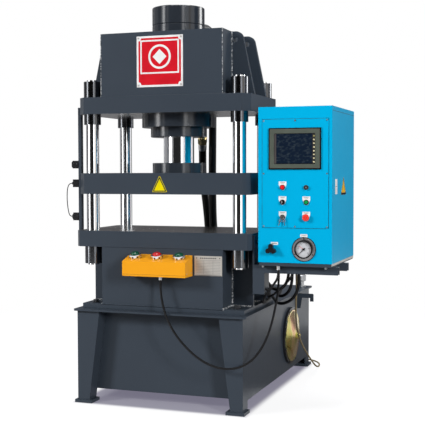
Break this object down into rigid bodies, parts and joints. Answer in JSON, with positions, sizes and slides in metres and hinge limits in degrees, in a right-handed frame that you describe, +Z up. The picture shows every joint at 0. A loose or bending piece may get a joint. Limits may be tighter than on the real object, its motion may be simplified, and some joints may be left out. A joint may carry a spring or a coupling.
{
  "type": "hydraulic press",
  "caption": "Four-column hydraulic press on a welded oil tank, with a sliding platen, a two-hand button box and a control cabinet on a side bracket.",
  "frame": {"origin": "on the floor, at the centre of the four foot bolts", "axes": "+Z up, +X to the operator's right, where the cabinet is, +Y to the back of the machine"},
  "size_m": [1.8837, 1.9618, 2.617],
  "materials": {
    "structure": "semi-gloss dark slate grey paint on welded steel",
    "chrome_steel": "hard chromed and polished",
    "nut_steel": "painted machined steel",
    "zinc_steel": "yellow zinc plated",
    "bronze": "machined bronze",
    "black_rubber": "matt black",
    "grey_conduit": "ribbed dark grey conduit",
    "tan_sheath": "smooth tan sheath",
    "orange_paint": "semi-gloss orange paint",
    "blue_paint": "fine-textured sky blue powder coat",
    "black_plastic": "moulded black",
    "green_plastic": "moulded green",
    "red_plastic": "moulded red",
    "red_enamel": "red enamel with a white border",
    "satin_aluminium": "satin anodised",
    "motor_paint": "grey cast housing"
  },
  "bodies": {
    "press_frame": {"badge_plate": "red_enamel", "base_bolts": "zinc_steel", "base_plate": "structure", "bed_nuts": "nut_steel", "bed_plate": "structure", "button_conduit": "grey_conduit", "button_guards": "chrome_steel", "cabinet_bracket": "structure", "cabinet_shell": "blue_paint", "cable_glands": "black_plastic", "cable_hook": "structure", "cleanout_cover": "zinc_steel", "cleanout_ring": "black_rubber", "columns": "chrome_steel", "control_bezels": "black_plastic", "control_box": "orange_paint", "crown_box": "structure", "crown_nuts": "nut_steel", "crown_plate": "structure", "cylinder_body": "structure", "cylinder_cap": "structure", "data_plate": "satin_aluminium", "first_loop": "black_rubber", "front_panel": "blue_paint", "gauge_case": "black_plastic", "gland_ring": "structure", "hose_fittings": "zinc_steel", "junction_box": "structure", "legs": "structure", "limit_switch_rail": "structure", "limit_switches": "black_plastic", "lower_conduit": "grey_conduit", "oil_tank": "structure", "pedestal": "structure", "pilot_lamp": "red_plastic", "pump_motor": "motor_paint", "ram_hose": "black_rubber", "rear_hose": "black_rubber", "screen_frame": "black_plastic", "second_loop": "black_rubber", "switch_lead_cable": "black_rubber", "tan_lead_cable": "tan_sheath", "tank_top_plate": "structure", "third_loop": "black_rubber", "upper_conduit": "grey_conduit", "valve_block": "zinc_steel"},
    "platen": {"platen": "structure", "guide_bushes": "bronze", "ram_flange": "structure", "ram_flange_screws": "zinc_steel", "ram_rod": "chrome_steel"},
    "left_button": {"left_button": "green_plastic"},
    "stop_button": {"stop_button": "red_plastic"},
    "right_button": {"right_button": "green_plastic"},
    "green_button": {"green_button": "green_plastic"},
    "emergency_stop": {"emergency_stop": "red_plastic"},
    "selector_switch": {"selector_switch": "black_plastic"},
    "key_switch": {"key_switch": "black_plastic"},
    "valve_knob": {"valve_knob": "black_plastic"},
    "gauge_pointer": {"gauge_pointer": "red_plastic"}
  },
  "joints": [
    {"name": "platen_slide", "type": "slide", "parent": "press_frame", "child": "platen", "axis": [0, 0, 1], "range_m": [-0.2, 0.1]},
    {"name": "left_button_press", "type": "slide", "parent": "press_frame", "child": "left_button", "axis": [0, 0.2777, -0.9607], "range_m": [0, 0.005], "stiffness_N_per_m": 700, "springref_m": -0.002},
    {"name": "stop_button_press", "type": "slide", "parent": "press_frame", "child": "stop_button", "axis": [0, 0.2777, -0.9607], "range_m": [0, 0.005], "stiffness_N_per_m": 700, "springref_m": -0.002},
    {"name": "right_button_press", "type": "slide", "parent": "press_frame", "child": "right_button", "axis": [0, 0.2777, -0.9607], "range_m": [0, 0.005], "stiffness_N_per_m": 700, "springref_m": -0.002},
    {"name": "green_button_press", "type": "slide", "parent": "press_frame", "child": "green_button", "axis": [0, 1, 0], "range_m": [0, 0.004], "stiffness_N_per_m": 400, "springref_m": -0.002},
    {"name": "emergency_stop_press", "type": "slide", "parent": "press_frame", "child": "emergency_stop", "axis": [0, 1, 0], "range_m": [0, 0.005]},
    {"name": "selector_turn", "type": "hinge", "parent": "press_frame", "child": "selector_switch", "pos_m": [0.818, -0.803, 1.339], "axis": [0, -1, 0], "range_deg": [-45, 45]},
    {"name": "key_turn", "type": "hinge", "parent": "press_frame", "child": "key_switch", "pos_m": [0.818, -0.803, 1.246], "axis": [0, -1, 0], "range_deg": [-90, 0]},
    {"name": "valve_knob_turn", "type": "hinge", "parent": "press_frame", "child": "valve_knob", "pos_m": [0.75, -0.814, 1.048], "axis": [0, -1, 0], "continuous": true},
    {"name": "gauge_swing", "type": "hinge", "parent": "press_frame", "child": "gauge_pointer", "pos_m": [0.953, -0.8, 1.051], "axis": [0, 1, 0], "range_deg": [0, 270], "stiffness_Nm_per_rad": 0.005, "springref_deg": -11.46}
  ]
}
